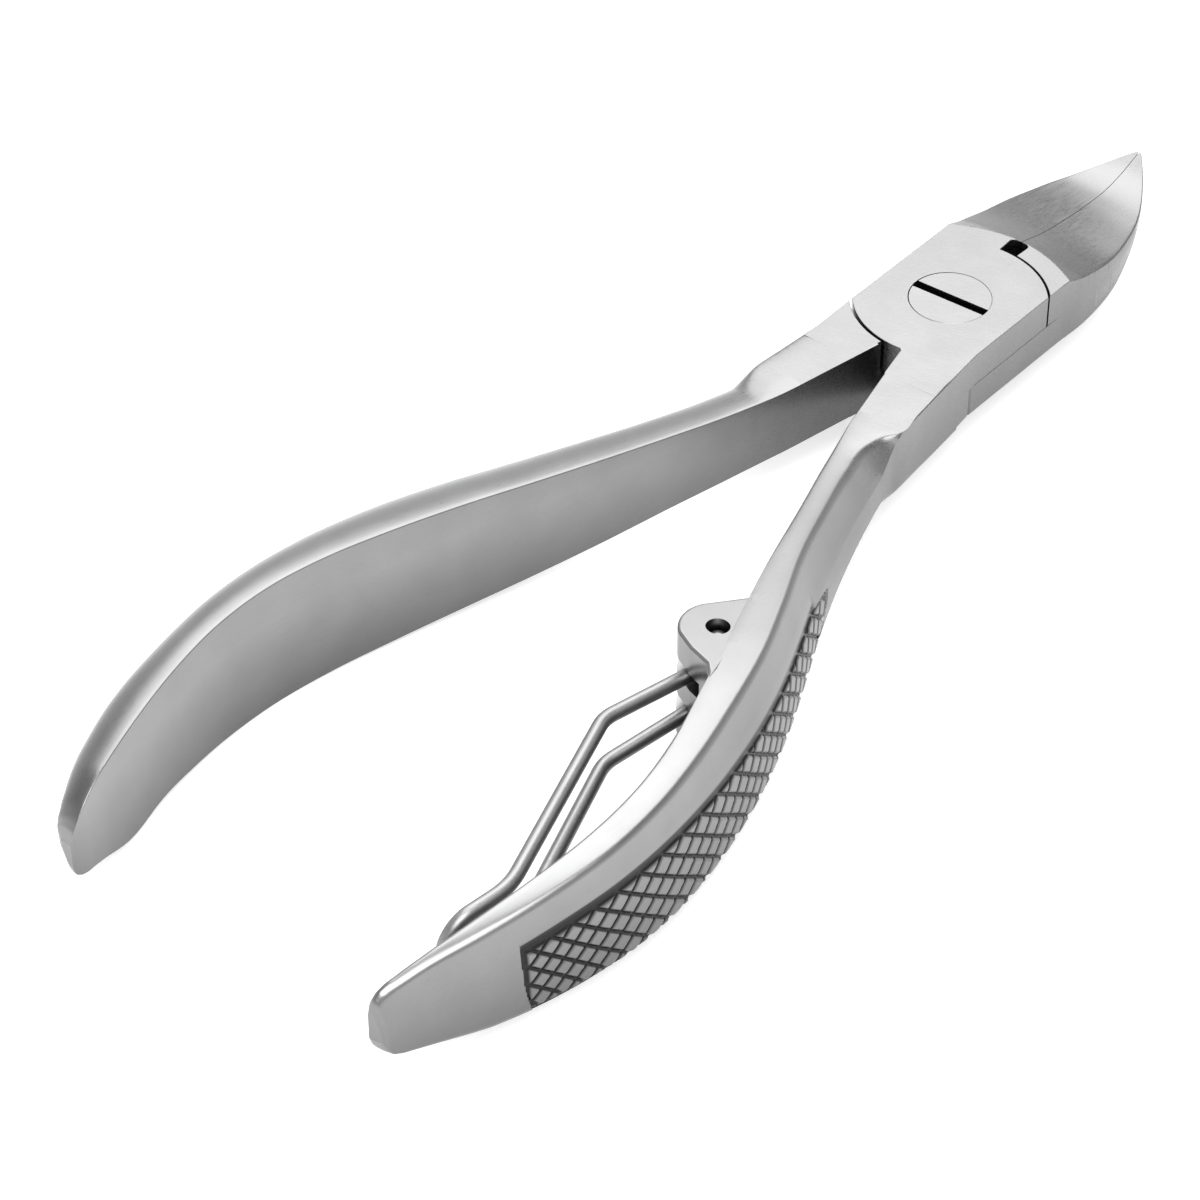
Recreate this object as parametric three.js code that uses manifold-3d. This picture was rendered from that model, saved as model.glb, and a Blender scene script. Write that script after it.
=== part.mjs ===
// Plier-type nail nipper: two crossed halves on a lap joint, a slotted pivot screw,
// and a folding hairpin spring on a pin in one handle.
//
// Frame, in millimetres: the pivot axis is Z through the origin, +Y runs along the
// closed cutting edges to the tip, +X is the side of the handle that carries the
// spring, and z = 0 is the flat underside of the joint.
import * as THREE from 'three';
import { mergeGeometries, mergeVertices } from 'three/addons/utils/BufferGeometryUtils.js';
import Module from 'manifold-3d';

// ---- driving dimensions ----
const THICKNESS = 6.7;        // joint, over both lap plates
const HALF_WIDTH = 6.75;      // joint, pivot axis to side wall
const LAP_RADIUS = 8.8;       // each lap plate
const GAP = 0.3;              // between neighbouring pieces
const RUNNING = 0.08;         // radial clearance where a piece turns on another
const MID = THICKNESS / 2;    // lap plane, and middle height of both handles

const TIP_Y = 29.75;          // pivot axis to the tip of the jaws
const SCOOP_START = 10.9;     // where the hollow of the jaws starts, on the centre line
const SCOOP_DEPTH = 1.5;      // below the straight line from its start to the tip
const SCOOP_CROWN = 0.016;    // fall of the hollow towards the sides, per mm squared
const CROWN_LOST = 0.7;       // share of that fall lost at the tip
const TIP_DROP = 0.2;         // tip below the top of the joint
const RELIEF_START = 12;      // where the underside starts to rise towards the tip
const RIM_THICKNESS = 0.75;   // least thickness of the jaws, at the rim and the tip
const EDGE_BAND = 2.4;        // width of the rounding along the underside's edge
const EDGE_RISE = [0.3, 1.7]; // how high it rises, at the start of the relief and at the tip
const NOTCH_HALF = 1.0;       // stress notch behind the cutting edges
const NOTCH_FRONT = 10.8;
const NOTCH_CORNER = 0.25;    // how far its front runs to a point at the seam

const HEAD_RADIUS = 3.75;     // pivot screw
const HEAD_DEPTH = 1.6;
const SHANK_RADIUS = 2.1;
const SLOT_WIDTH = 0.9;
const SLOT_DEPTH = 0.9;
const SLOT_TURN = 4;          // degrees from +X

const HANDLE_LEAN = 1.5;      // both handles lean towards +X by this many degrees
const HANDLE_END = -97.7;
const BOTTOM_EDGE = 0.45;     // the joint's bottom edges are broken by this much

const PIN_X = 12.05;          // spring pin, in the handle's own frame
const PIN_Y = -50.2;
const PIN_RADIUS = 0.8;
const PIN_RECESS = 0.8;       // pin end below the lug's face
const LUG_RADIUS = 3.3;
const LUG_HALF = 5.6;         // lug height, from MID
const WIRE_RADIUS = 0.65;
const EYE_RADIUS = PIN_RADIUS + RUNNING + WIRE_RADIUS;
const ARM_RISE = 1.95;        // height of each spring arm from MID, at the pin
const FOOT_RISE = 2.9;        // and at the foot
const KNEE = new THREE.Vector3(9.55, -61.95, 2.5);
const HEEL = new THREE.Vector3(15.95, -81.6, FOOT_RISE);
const FOOT = new THREE.Vector3(15.35, -85.6, FOOT_RISE);
const BEND_REACH = 1.3;       // how far from its corner each bend of the wire starts

// Half outline of the jaws, from the joint to the tip: [half width, y].
const JAW_OUTLINE = [
  [HALF_WIDTH, 8], [6.85, 11], [6.75, 14], [6.45, 17], [5.75, 20], [4.8, 22.8],
  [3.75, 24.9], [2.4, 27], [1.2, 28.6], [0.4, 29.6],
];
// Height of the underside along the jaws: [y, z].
const UNDERSIDE = [
  [RELIEF_START, 0], [15, 0.1], [17.5, 0.45], [20, 1.2], [23, 2.4], [26, 3.7], [28, 4.7], [30, 5.6],
];

// Handle stations, in the handle's own frame: [y, x of the flat inner face, thickness,
// height, width of the top face, radius of the outer edge at the bottom].
const HANDLE_STATIONS = [
  [-12, 1.8, 4.9, 6.5, 2.7, 0.6],
  [-20, 3.4, 4.35, 6.6, 2.45, 0.8],
  [-26, 5.1, 4.15, 7.2, 2.4, 1.0],
  [-32, 7.05, 4.0, 8.1, 2.35, 1.1],
  [-38, 9.0, 4.3, 9.2, 2.5, 1.5],
  [-45, 11.45, 5.0, 10.4, 3.1, 2.5],
  [-51, 13.65, 5.35, 11.35, 3.35, 2.9],
  [-58, 16.05, 5.25, 12.2, 3.1, 2.8],
  [-64, 17.85, 4.7, 12.7, 2.85, 2.5],
  [-70, 19.0, 4.1, 12.9, 2.7, 2.2],
  [-76, 19.2, 3.7, 12.65, 2.6, 2.1],
  [-82, 18.55, 3.25, 11.85, 2.3, 2.0],
  [-88, 17.4, 2.65, 10.5, 1.75, 1.7],
  [-92.5, 16.35, 2.2, 9.05, 1.2, 1.15],
  [-94.8, 15.8, 2.05, 8.1, 1.05, 1.0],
  [-96.2, 15.48, 1.95, 7.4, 0.95, 0.85],
  [-97.0, 15.38, 1.85, 6.6, 0.85, 0.75],
  [-97.5, 15.38, 1.6, 5.4, 0.75, 0.65],
  [HANDLE_END, 15.4, 1.2, 4.1, 0.55, 0.5],
];
const SWELL_Y = -89.5;        // a low swelling under the plain handle, ground less than the other
const SWELL_LENGTH = 3.6;
const SWELL_DEPTH = 1;
const LIFT_START = -88;       // the bottom edge of the spring's handle rises from here to the end
const LIFT = 1.1;

const STEEL = { color: 0xc9cacc, roughness: 0.32, metalness: 1 };
const SCREW_STEEL = { color: 0xcfd0d2, roughness: 0.3, metalness: 1 };
const WIRE_STEEL = { color: 0xbfc0c2, roughness: 0.25, metalness: 1 };

// ---- solids ----
const wasm = await Module();
wasm.setup();

function toSolid(geometry) {
  const bare = geometry.index ? geometry.clone() : geometry;
  for (const name of Object.keys(bare.attributes)) {
    if (name !== 'position') bare.deleteAttribute(name);
  }
  const merged = mergeVertices(bare, 1e-4);
  return new wasm.Manifold(new wasm.Mesh({
    numProp: 3,
    vertProperties: Float32Array.from(merged.attributes.position.array),
    triVerts: Uint32Array.from(merged.index.array),
  }));
}

function toMesh(name, solid, look) {
  const { vertProperties, triVerts } = solid.getMesh();
  const geometry = new THREE.BufferGeometry();
  geometry.setAttribute('position', new THREE.BufferAttribute(vertProperties, 3));
  geometry.setIndex(new THREE.BufferAttribute(triVerts, 1));
  geometry.computeVertexNormals();
  const mesh = new THREE.Mesh(geometry, new THREE.MeshStandardMaterial(look));
  mesh.name = name;
  return mesh;
}

const shapeOf = (points) => new THREE.Shape(points.map(([x, y]) => new THREE.Vector2(x, y)));

function plate(points, low, high) {
  const height = { depth: high - low, bevelEnabled: false };
  return toSolid(new THREE.ExtrudeGeometry(shapeOf(points), height).translate(0, 0, low));
}

// The joint's full thickness, with the edges broken on one side only.
function softPlate(points, softTop) {
  const soft = BOTTOM_EDGE;
  const bevelled = new THREE.ExtrudeGeometry(shapeOf(points), {
    depth: THICKNESS - 2 * soft,
    bevelThickness: soft,
    bevelSize: soft,
    bevelOffset: -soft,
    bevelSegments: 2,
  });
  const [low, high] = softTop ? [0, THICKNESS - 2 * soft] : [2 * soft, THICKNESS];
  return toSolid(bevelled.translate(0, 0, soft)).add(plate(points, low, high));
}

function disc(radius, low, high, segments = 72, x = 0, y = 0) {
  const geometry = new THREE.CylinderGeometry(radius, radius, high - low, segments);
  return toSolid(geometry.rotateX(Math.PI / 2).translate(x, y, (low + high) / 2));
}

function block(x0, x1, y0, y1, z0, z1) {
  const geometry = new THREE.BoxGeometry(x1 - x0, y1 - y0, z1 - z0);
  return toSolid(geometry.translate((x0 + x1) / 2, (y0 + y1) / 2, (z0 + z1) / 2));
}

// Smooth interpolation of a table's columns against its first column.
function sampler(rows) {
  const curves = rows[0].slice(1).map((_, column) => new THREE.CatmullRomCurve3(
    rows.map((row) => new THREE.Vector3(row[0], row[column + 1], 0)), false, 'centripetal'));
  return (share) => curves.map((curve) => curve.getPoint(share));
}

// Closed body through a list of closed rings with the same number of points each.
function loft(rings) {
  const size = rings[0].length;
  const positions = rings.flat().flatMap((point) => [point.x, point.y, point.z]);
  const index = [];
  for (let ring = 0; ring + 1 < rings.length; ring += 1) {
    for (let i = 0; i < size; i += 1) {
      const a = ring * size + i;
      const b = ring * size + (i + 1) % size;
      index.push(a, b, b + size, a, b + size, a + size);
    }
  }
  const last = (rings.length - 1) * size;
  for (let i = 1; i + 1 < size; i += 1) {
    index.push(0, i + 1, i, last, last + i, last + i + 1);
  }
  const geometry = new THREE.BufferGeometry();
  geometry.setAttribute('position', new THREE.Float32BufferAttribute(positions, 3));
  geometry.setIndex(index);
  return geometry;
}

// Everything on one side of a height field z(x, y), as a cutter.
function fieldCutter(heightAt, far, y0, y1, columns, rows) {
  const rings = [];
  for (let row = 0; row <= rows; row += 1) {
    const y = y0 + (y1 - y0) * row / rows;
    const ring = [];
    for (let column = 0; column <= columns; column += 1) {
      const x = (column / columns - 0.5) * 20;
      ring.push(new THREE.Vector3(x, y, heightAt(x, y)));
    }
    ring.push(new THREE.Vector3(10, y, far), new THREE.Vector3(-10, y, far));
    rings.push(far > heightAt(0, y) ? ring.reverse() : ring);
  }
  return toSolid(loft(rings));
}

// ---- jaws ----
// Value of a smooth curve through [y, value] rows, at any y.
function curveAt(rows, y) {
  const curve = new THREE.SplineCurve(rows.map(([u, v]) => new THREE.Vector2(u, v)));
  let low = 0;
  let high = 1;
  for (let step = 0; step < 24; step += 1) {
    const middle = (low + high) / 2;
    if (curve.getPoint(middle).x < y) low = middle;
    else high = middle;
  }
  return curve.getPoint(low).y;
}

function scoopHeight(x, y) {
  const along = (y - SCOOP_START) / (TIP_Y - SCOOP_START);
  const crown = SCOOP_CROWN * (1 - CROWN_LOST * Math.max(along, 0));
  return THICKNESS - TIP_DROP * along - 4 * SCOOP_DEPTH * along * (1 - along) - crown * x * x;
}

function undersideHeight(x, y) {
  const along = THREE.MathUtils.clamp((y - RELIEF_START) / (TIP_Y - RELIEF_START), 0, 1);
  const half = curveAt(JAW_OUTLINE.map(([u, v]) => [v, u]), y);
  const edge = THREE.MathUtils.clamp((Math.abs(x) - half + EDGE_BAND) / EDGE_BAND, 0, 1.5);
  const base = y <= RELIEF_START ? -0.5 * (RELIEF_START - y) : curveAt(UNDERSIDE, y);
  const rounded = base - 0.02 + THREE.MathUtils.lerp(...EDGE_RISE, along) * edge * edge;
  return Math.min(rounded, scoopHeight(x, y) - RIM_THICKNESS);
}

function jawPlan() {
  const outer = new THREE.SplineCurve(JAW_OUTLINE.map(([x, y]) => new THREE.Vector2(-x, y)));
  const side = outer.getPoints(24).map((point) => [point.x, point.y]);
  return [
    [-NOTCH_HALF, 0], [-NOTCH_HALF, NOTCH_FRONT],
    [-GAP / 2, NOTCH_FRONT + NOTCH_CORNER], [-GAP / 2, TIP_Y],
    ...side.reverse(), [-HALF_WIDTH, 0],
  ];
}

// ---- handles ----
const SOFT_EDGE = 0.55;       // radius of the handles' inner edges
const BEVEL_HEIGHT = 3.2;     // of the bevel between the top and the outer face
const TOP_FALL = 0.3;         // fall of the top face towards that bevel
const BEVEL_FULLNESS = 0.22;  // how far the bevel is bowed outwards

// Points on a quarter circle, clockwise from an angle in degrees.
function quarter(x, z, radius, from, steps) {
  return Array.from({ length: steps + 1 }, (_, i) => {
    const angle = THREE.MathUtils.degToRad(from - 90 * i / steps);
    return [x + radius * Math.cos(angle), z + radius * Math.sin(angle)];
  });
}

// The section, clockwise: bottom inner edge, top inner edge, top face, bevel, outer face.
// Each point is (distance out from the inner face, height from the middle).
function handleSection(thickness, height, top, round) {
  const half = height / 2;
  const soft = Math.min(SOFT_EDGE, thickness * 0.3);
  const bevel = Math.min(BEVEL_HEIGHT, half * 0.75);
  return [
    ...quarter(soft, soft - half, soft, 270, 2),
    ...quarter(soft, half - soft, soft, 180, 2),
    [top, half - Math.min(TOP_FALL, bevel / 4)],
    [(top + thickness) / 2, half - bevel / 3],
    [thickness - BEVEL_FULLNESS * (thickness - top), half - bevel * 2 / 3],
    [thickness, half - bevel],
    ...quarter(thickness - round, round - half, round, 360, 4),
  ];
}

function handleBody(swollen) {
  const sample = sampler(HANDLE_STATIONS);
  const steps = 57;
  const nearby = 0.005;
  const rings = [];
  for (let step = 0; step <= steps; step += 1) {
    const share = step / steps;
    const [inner, thickness, height, top, round] = sample(share);
    const ahead = sample(Math.min(share + nearby, 1))[0];
    const behind = sample(Math.max(share - nearby, 0))[0];
    const along = new THREE.Vector2(ahead.y - behind.y, ahead.x - behind.x).normalize();
    const outward = new THREE.Vector2(-along.y, along.x);
    const section = handleSection(thickness.y, height.y, top.y, round.y);
    const swell = swollen ? SWELL_DEPTH * Math.exp(-(((inner.x - SWELL_Y) / SWELL_LENGTH) ** 2)) : 0;
    const beyond = THREE.MathUtils.clamp((LIFT_START - inner.x) / (LIFT_START - HANDLE_END), 0, 1);
    const lift = swollen ? 0 : LIFT * beyond;
    const upper = 1 + 2 * swell / height.y;
    const lower = 1 - 2 * lift / height.y;
    rings.push(section.reverse().map(([out, z]) => new THREE.Vector3(
      inner.y + outward.x * out, inner.x + outward.y * out, MID + z * (z > 0 ? upper : lower))));
  }
  return toSolid(loft(rings));
}

// The flat block between the lap plate and the handle, in the handle's own frame.
const BLOCK_PLAN = [
  [0.85, -6], [0.95, -9], [3.25, -20], [5.4, -20.4], [6.3, -20], [7.1, -19], [7.5, -17.8],
  [7.55, -16.6], [7.3, -13.5], [6.95, -9.5], [6.75, -5], [6.75, 0], [1.1, 0],
];

function lug() {
  const plan = new THREE.Shape();
  plan.moveTo(12.4, -44);
  plan.lineTo(11.6, -45.3);
  plan.lineTo(PIN_X - 2.75, PIN_Y + 1.65);
  plan.absarc(PIN_X, PIN_Y, LUG_RADIUS, Math.PI - 0.54, Math.PI + 0.95, false);
  plan.lineTo(12, -53.85);
  plan.lineTo(14.2, -54.5);
  plan.lineTo(15, -55.4);
  plan.lineTo(16.3, -58.6);
  plan.lineTo(17, -57);
  plan.lineTo(15.8, -50);
  const height = { depth: 2 * LUG_HALF, bevelEnabled: false, curveSegments: 10 };
  const geometry = new THREE.ExtrudeGeometry(plan, height);
  return toSolid(geometry.translate(0, 0, MID - LUG_HALF));
}

function lugCuts() {
  const reach = EYE_RADIUS + WIRE_RADIUS + GAP;
  const cuts = [disc(PIN_RADIUS + GAP, -10, 20, 24, PIN_X, PIN_Y)];
  for (const side of [-1, 1]) {
    const low = MID + side * ARM_RISE - WIRE_RADIUS - GAP;
    const high = MID + side * ARM_RISE + WIRE_RADIUS + GAP;
    cuts.push(disc(reach, low, high, 40, PIN_X, PIN_Y));
    cuts.push(block(PIN_X - 10, PIN_X, PIN_Y - 12, PIN_Y + reach, low, high));
    cuts.push(block(PIN_X - 1, PIN_X + 1.2, PIN_Y - 12, PIN_Y, low, high));
  }
  return cuts;
}

// ---- the two halves ----
// One half lies with its lap plate on top, its handle towards +X and its jaw towards -X.
// The other is the same forging turned over about Y.
function turnOver(solid) {
  return solid.translate(0, 0, -MID).rotate(0, 180, 0).translate(0, 0, MID);
}

function halfBlank(lean, softTop, ...handleParts) {
  const lapCut = disc(LAP_RADIUS + GAP, -12, MID + GAP / 2);
  const strip = block(-HALF_WIDTH, HALF_WIDTH, -LAP_RADIUS, LAP_RADIUS, MID + GAP / 2, THICKNESS);
  const lap = disc(LAP_RADIUS, MID + GAP / 2, THICKNESS).intersect(strip);
  let handle = handleBody(softTop).add(softPlate(BLOCK_PLAN, softTop));
  for (const piece of handleParts) handle = handle.add(piece);
  return plate(jawPlan(), 0, THICKNESS).add(handle.rotate(0, 0, lean)).subtract(lapCut).add(lap);
}

function dressJaws(half) {
  const scoop = fieldCutter(scoopHeight, THICKNESS + 6, 7, TIP_Y + 2, 12, 18);
  const relief = fieldCutter(undersideHeight, -8, RELIEF_START - 3, TIP_Y + 0.6, 20, 16);
  return half.subtract(scoop).subtract(relief);
}

function upperHalf() {
  const lean = HANDLE_LEAN;
  let half = halfBlank(lean, false, lug());
  for (const cut of lugCuts()) half = half.subtract(cut.rotate(0, 0, lean));
  const counterbore = disc(HEAD_RADIUS + RUNNING, THICKNESS - HEAD_DEPTH - GAP, THICKNESS + 1, 48);
  const bore = disc(SHANK_RADIUS + RUNNING, -1, THICKNESS + 1, 32);
  return dressJaws(half).subtract(counterbore).subtract(bore);
}

function lowerHalf() {
  let half = turnOver(halfBlank(-HANDLE_LEAN, true));
  const side = BOTTOM_EDGE / Math.SQRT2;
  for (const x of [-HALF_WIDTH, HALF_WIDTH]) {
    half = half.subtract(block(-side, side, -6.4, 10, -side, side).rotate(0, 45, 0).translate(x, 0, 0));
  }
  return dressJaws(half).subtract(disc(SHANK_RADIUS + GAP, -1, THICKNESS + 1, 32));
}

// ---- pivot screw ----
function pivotScrew() {
  const chamfer = 0.35;
  const soft = 0.1;
  const profile = [
    [0, 0], [SHANK_RADIUS - chamfer, 0], [SHANK_RADIUS, chamfer],
    [SHANK_RADIUS, THICKNESS - HEAD_DEPTH], [HEAD_RADIUS, THICKNESS - HEAD_DEPTH],
    [HEAD_RADIUS, THICKNESS - soft], [HEAD_RADIUS - soft, THICKNESS], [0, THICKNESS],
  ].map(([r, z]) => new THREE.Vector2(r, z));
  const body = toSolid(new THREE.LatheGeometry(profile, 48).rotateX(Math.PI / 2));
  const slot = block(-5, 5, -SLOT_WIDTH / 2, SLOT_WIDTH / 2, THICKNESS - SLOT_DEPTH, THICKNESS + 1);
  return body.subtract(slot.rotate(0, 0, SLOT_TURN));
}

// ---- spring pin ----
function springPin() {
  const half = LUG_HALF - PIN_RECESS;
  return disc(PIN_RADIUS, MID - half, MID + half, 24, PIN_X, PIN_Y).rotate(0, 0, HANDLE_LEAN);
}

// ---- wire spring ----
// Two equal arms, one above the other, run from eyes on the pin over a knee and a
// heel to the foot, where one round bend joins them.
function springPath() {
  const pin = new THREE.Vector2(PIN_X, PIN_Y);
  const towardsKnee = new THREE.Vector2(KNEE.x, KNEE.y).sub(pin).setLength(EYE_RADIUS);
  const eyeExit = new THREE.Vector3(pin.x + towardsKnee.x, pin.y + towardsKnee.y, ARM_RISE);
  const arm = [eyeExit, KNEE, HEEL, FOOT];
  const points = [eyeExit];
  for (const corner of [1, 2]) {
    const [before, after] = [corner - 1, corner + 1].map((other) => (
      arm[corner].clone().lerp(arm[other], BEND_REACH / arm[corner].distanceTo(arm[other]))));
    points.push(...new THREE.QuadraticBezierCurve3(before, arm[corner], after).getPoints(4));
  }
  const along = FOOT.clone().sub(HEEL).setZ(0).normalize();
  const steps = 6;
  for (let step = 0; step <= steps; step += 1) {
    const angle = Math.PI / 2 * step / steps;
    const out = FOOT_RISE * Math.sin(angle);
    points.push(FOOT.clone().addScaledVector(along, out).setZ(FOOT_RISE * Math.cos(angle)));
  }
  const lower = points.slice(0, -1).reverse().map(({ x, y, z }) => new THREE.Vector3(x, y, -z));
  return [...points, ...lower].map(({ x, y, z }) => new THREE.Vector3(x, y, z + MID));
}

function wireTube(points) {
  const sides = 10;
  const rings = points.map((point, i) => {
    const before = points[Math.max(i - 1, 0)];
    const after = points[Math.min(i + 1, points.length - 1)];
    const along = after.clone().sub(before).normalize();
    const across = new THREE.Vector3(along.y, -along.x, 0);
    const side = (across.lengthSq() > 1e-6 ? across : new THREE.Vector3(1, 0, 0)).normalize();
    const up = side.clone().cross(along);
    return Array.from({ length: sides }, (_, k) => {
      const angle = -2 * Math.PI * k / sides;
      return point.clone().addScaledVector(side, WIRE_RADIUS * Math.cos(angle))
        .addScaledVector(up, WIRE_RADIUS * Math.sin(angle));
    });
  });
  return toSolid(loft(rings));
}

function eye(height) {
  const ring = new THREE.TorusGeometry(EYE_RADIUS, WIRE_RADIUS, 10, 28);
  return toSolid(ring.translate(PIN_X, PIN_Y, height));
}

function wireSpring() {
  const eyes = eye(MID + ARM_RISE).add(eye(MID - ARM_RISE));
  return wireTube(springPath()).add(eyes).rotate(0, 0, HANDLE_LEAN);
}

// ---- the assembly ----
const nipper = new THREE.Group();
nipper.add(
  toMesh('upper_half', upperHalf(), STEEL),
  toMesh('lower_half', lowerHalf(), STEEL),
  toMesh('pivot_screw', pivotScrew(), SCREW_STEEL),
  toMesh('spring_pin', springPin(), WIRE_STEEL),
  toMesh('wire_spring', wireSpring(), WIRE_STEEL),
);

export default nipper;
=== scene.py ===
# The plier-type nail nipper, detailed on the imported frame. Lengths are in millimetres
# until a mesh is made, and then in metres.
import math
import bmesh
import bpy
import numpy as np
from mathutils import Matrix, Vector
from mathutils.kdtree import KDTree


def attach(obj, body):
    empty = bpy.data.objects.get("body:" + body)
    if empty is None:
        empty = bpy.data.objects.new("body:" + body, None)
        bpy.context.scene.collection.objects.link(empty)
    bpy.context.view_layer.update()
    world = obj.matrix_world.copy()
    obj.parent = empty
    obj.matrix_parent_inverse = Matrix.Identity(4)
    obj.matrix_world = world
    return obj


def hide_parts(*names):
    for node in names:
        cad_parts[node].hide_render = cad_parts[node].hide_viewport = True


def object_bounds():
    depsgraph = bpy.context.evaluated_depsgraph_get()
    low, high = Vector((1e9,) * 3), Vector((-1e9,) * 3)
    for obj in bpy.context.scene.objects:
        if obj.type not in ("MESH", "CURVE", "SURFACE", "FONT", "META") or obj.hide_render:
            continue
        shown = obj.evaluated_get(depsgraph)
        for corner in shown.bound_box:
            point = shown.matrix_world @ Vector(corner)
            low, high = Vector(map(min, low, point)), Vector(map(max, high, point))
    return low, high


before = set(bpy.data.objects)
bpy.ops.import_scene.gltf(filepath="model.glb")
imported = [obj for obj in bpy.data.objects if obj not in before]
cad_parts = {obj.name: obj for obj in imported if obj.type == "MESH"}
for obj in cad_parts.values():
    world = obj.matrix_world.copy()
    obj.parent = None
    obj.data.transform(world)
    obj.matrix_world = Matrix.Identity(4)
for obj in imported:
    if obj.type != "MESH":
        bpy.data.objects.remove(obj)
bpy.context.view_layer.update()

MM = 0.001

# The joint
THICKNESS = 6.7             # over both lap plates
MID = THICKNESS / 2         # lap plane, and middle height of both handles
HALF_WIDTH = 6.75
LAP_RADIUS = 8.8
LAP_GAP = 0.22              # seen as the dark arcs
LAP_PLANE_GAP = 0.06
TOP_EDGE = 0.07             # edges broken by this much on top
BOTTOM_EDGE = 0.45          # and round the underside
LEAN = math.radians(1.5)    # both handles lean towards +X

# The jaws
TIP_Y = 29.7
SEAM = 0.03                 # half the hairline between the closed cutting edges
HOLLOW = (10.9, 29.75)      # y where the hollow starts, and where it ends
HOLLOW_CROWN = 0.016        # its fall towards the sides, per mm squared
HOLLOW_FALL = 0.2           # tip below the top of the joint
RELIEF = (12, 29.75)        # y where the underside starts to rise, and where it ends
RIM_THICKNESS = 0.75        # least thickness of the jaws
EDGE_BAND = 2.4             # width of the rounding along the underside's edge

# The screw
HEAD_RADIUS = 3.75
HEAD_DEPTH = 1.62
HEAD_SUNK = 0.015           # below the face of the joint
BORE_PLAY = 0.045           # round the head, seen as a fine ring
BORE_SHIFT = (-0.025, -0.02)    # makes the ring uneven
SHANK_RADIUS = 2.08
SHANK_HOLE = 2.15
SLOT_HALF = 0.46
SLOT_DEPTH = 0.9
SLOT_TURN = math.radians(4)

# The spring, its pin and the pin's lug. Places are in the handle's own frame.
PIN = (12.05, -50.2)
PIN_RADIUS = 0.8
PIN_RECESS = 0.8            # pin end below the lug's face
PIN_HOLE = 1.03
LUG_HALF = 5.6              # half the lug's height at the pin
LUG_FRONT_HALF = 5.119      # at y = LUG_FRONT
LUG_FRONT = -44
LUG_GROWTH = 0.0787         # of half its height, per mm towards the handle's end
LUG_RADIUS = 3.3
LUG_EDGE = 0.3
WIRE_RADIUS = 0.65
EYE_RADIUS = PIN_RADIUS + 0.08 + WIRE_RADIUS
SLOT_PLAY = 0.2             # round the eyes, in the lug's slots
ARM_RISE = 1.95             # of each arm from the middle, at the pin
FOOT_RISE = 2.9             # and at the foot
KNEE = (9.55, -61.95, 2.5)
HEEL = (15.95, -81.6, FOOT_RISE)
FOOT = (15.35, -85.6, FOOT_RISE)
KNEE_REACH = 1.0            # how far from its corner each bend starts
HEEL_REACH = 1.7

# The grip
GROOVE_ANGLE = math.radians(42)
GROOVE_WIDTH = 0.52
GROOVE_DEPTH = 0.26
GROOVE_PITCH = 1.66
NARROWING = 0.3             # of the pitch, towards the rear
PANEL_FRONT, PANEL_REAR = -36.3, -85.3
BORDER_FRONT, BORDER_REAR = -36.2, -85.4
POINT = 0.28                # share of the face above the grip's front point

# The handles' ends. The far one is fuller.
FAR_THICKER = 0.75
FAR_SWELL = 1.0             # beyond the bow, round y = -89.5
FAR_DRAWN_IN = 1.7          # of the lower edge of the section, at the very end
NEAR_DRAWN_IN = 1.1

# Half outline of the jaws: [y, half width]
JAW_OUTLINE = [
    (8, 6.75), (11, 6.85), (14, 6.75), (17, 6.45), (20, 5.75), (22.8, 4.8),
    (24.9, 3.75), (27, 2.4), (28.6, 1.2), (29.55, 0.38),
]
# The underside of the jaws: [y, height]
UNDERSIDE = [
    (12, 0.0), (15, 0.1), (17.5, 0.45), (20, 1.2), (23, 2.4), (26, 3.7), (28, 4.7), (30, 5.6),
]
# Depth of the hollow: [share of its length, depth]
HOLLOW_DEPTH = [
    (0, 0), (0.2, 0.93), (0.4, 1.4), (0.6, 1.62), (0.72, 1.54), (0.86, 0.97), (1, 0),
]
# The handles: [y, x of the inner face, thickness, height, width of the top face,
# radius of the outer edge at the bottom]
STATIONS = [
    (-9.5, 1.07, 5.9, 6.7, 5.8, 0.3),
    (-13.5, 1.95, 5.37, 6.7, 5.27, 0.45),
    (-16.6, 2.64, 4.98, 6.7, 4.88, 0.9),
    (-19.4, 3.26, 4.66, 6.7, 4.56, 1.35),
    (-20.7, 3.58, 4.45, 6.72, 3.4, 1.45),
    (-22, 3.94, 4.3, 6.8, 2.75, 1.5),
    (-26, 5.1, 4.15, 7.2, 2.4, 1.45),
    (-32, 7.05, 4.0, 8.1, 2.35, 1.25),
    (-38, 9.0, 4.3, 9.2, 2.5, 1.4),
    (-45, 11.45, 5.0, 10.4, 3.1, 2.1),
    (-51, 13.65, 5.35, 11.35, 3.35, 2.35),
    (-58, 16.05, 5.25, 12.2, 3.1, 2.25),
    (-64, 17.85, 4.7, 12.7, 2.85, 2.0),
    (-70, 19.0, 4.1, 12.9, 2.7, 1.8),
    (-76, 19.2, 3.7, 12.65, 2.6, 1.7),
    (-82, 18.55, 3.25, 11.85, 2.3, 1.6),
    (-88, 17.4, 2.7, 10.5, 1.75, 1.45),
    (-92.5, 16.35, 2.2, 9.05, 1.2, 1.15),
    (-94.8, 15.8, 2.05, 8.1, 1.05, 1.0),
    (-96.2, 15.48, 1.95, 7.4, 0.95, 0.85),
    (-97.0, 15.38, 1.85, 6.6, 0.85, 0.75),
    (-97.5, 15.38, 1.6, 5.4, 0.75, 0.65),
    (-97.7, 15.4, 1.2, 4.1, 0.55, 0.5),
]
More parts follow.
